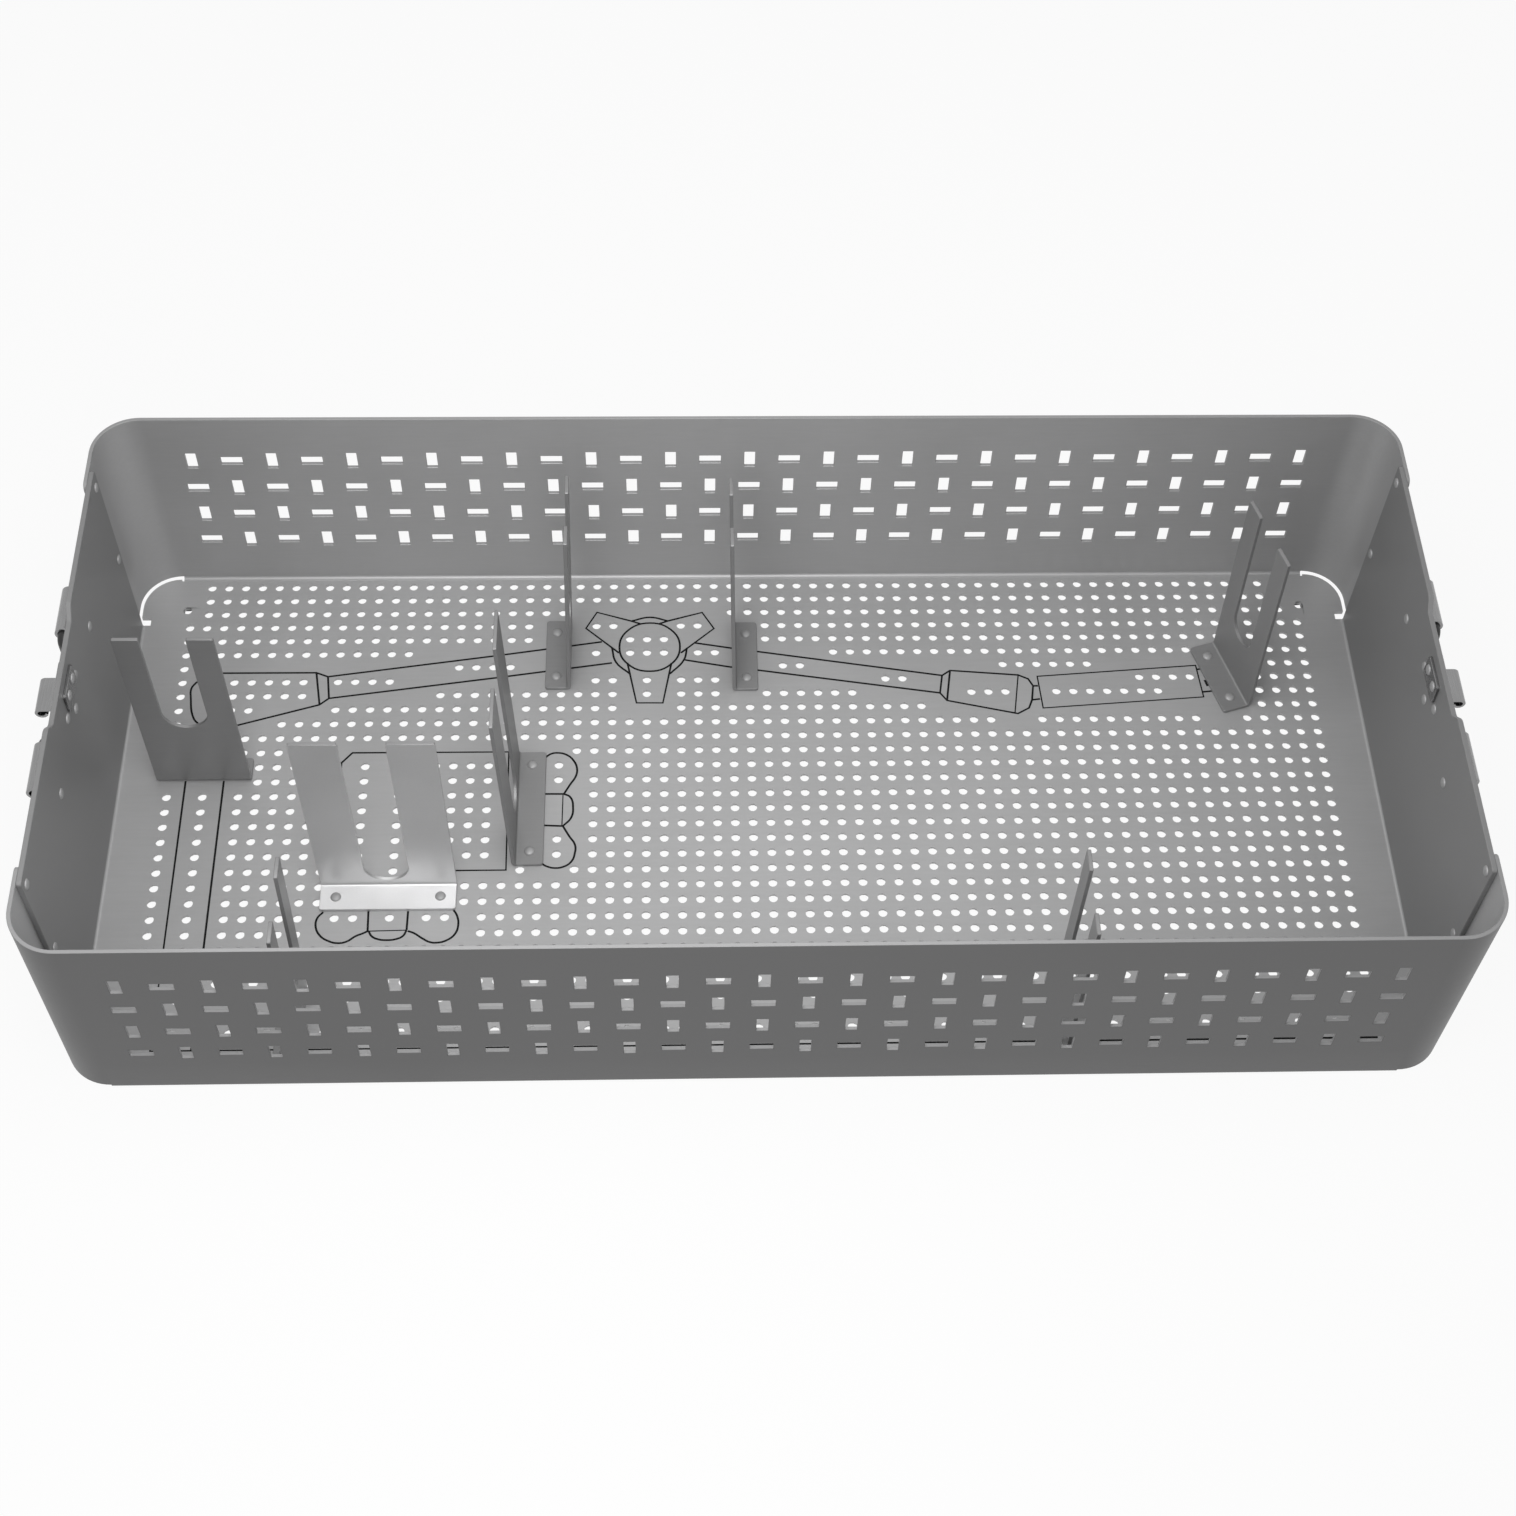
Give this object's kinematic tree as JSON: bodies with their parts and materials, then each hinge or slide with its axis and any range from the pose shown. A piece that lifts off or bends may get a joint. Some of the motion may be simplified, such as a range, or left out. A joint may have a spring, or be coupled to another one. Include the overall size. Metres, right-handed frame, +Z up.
{
  "type": "sterilization container basket",
  "caption": "Long perforated sheet-metal basket with rolled corners, upright instrument forks riveted to the floor, and a drop handle and lid catch at each end.",
  "frame": {"origin": "centre of the basket's underside, on the surface it rests on", "axes": "+X along the basket to its right end, +Y to its back, +Z up"},
  "size_m": [0.5628, 0.255, 0.1059],
  "materials": {
    "pan": "satin anodised",
    "walls": "satin anodised",
    "forks": "satin anodised",
    "rivets": "plain",
    "hardware": "brushed",
    "handle": "black coated wire"
  },
  "bodies": {
    "basket": {"base_pan": "pan", "rear_wall": "walls", "front_wall": "walls", "fork_grip_rear": "forks", "fork_grip_front": "forks", "fork_collar": "forks", "fork_shaft_left": "forks", "fork_shaft_right": "forks", "fork_head_angled": "forks", "fork_front_left": "forks", "fork_front_right": "forks", "fork_rivets": "rivets", "corner_rivets": "rivets", "knuckle_right_rear": "hardware", "knuckle_right_front": "hardware", "knuckle_left_rear": "hardware", "knuckle_left_front": "hardware", "knuckle_rivets": "rivets", "catch_right": "hardware", "catch_left": "hardware", "backing_right": "hardware", "backing_left": "hardware", "catch_rivets": "rivets"},
    "bail_right": {"handle_right": "handle"},
    "bail_left": {"handle_left": "handle"}
  },
  "joints": [
    {"name": "bail_right_swing", "type": "hinge", "parent": "basket", "child": "bail_right", "pos_m": [0.2739, 0, 0.0895], "axis": [0, -1, 0], "range_deg": [0, 180]},
    {"name": "bail_left_swing", "type": "hinge", "parent": "basket", "child": "bail_left", "pos_m": [-0.2739, 0, 0.0895], "axis": [0, 1, 0], "range_deg": [0, 180]}
  ]
}
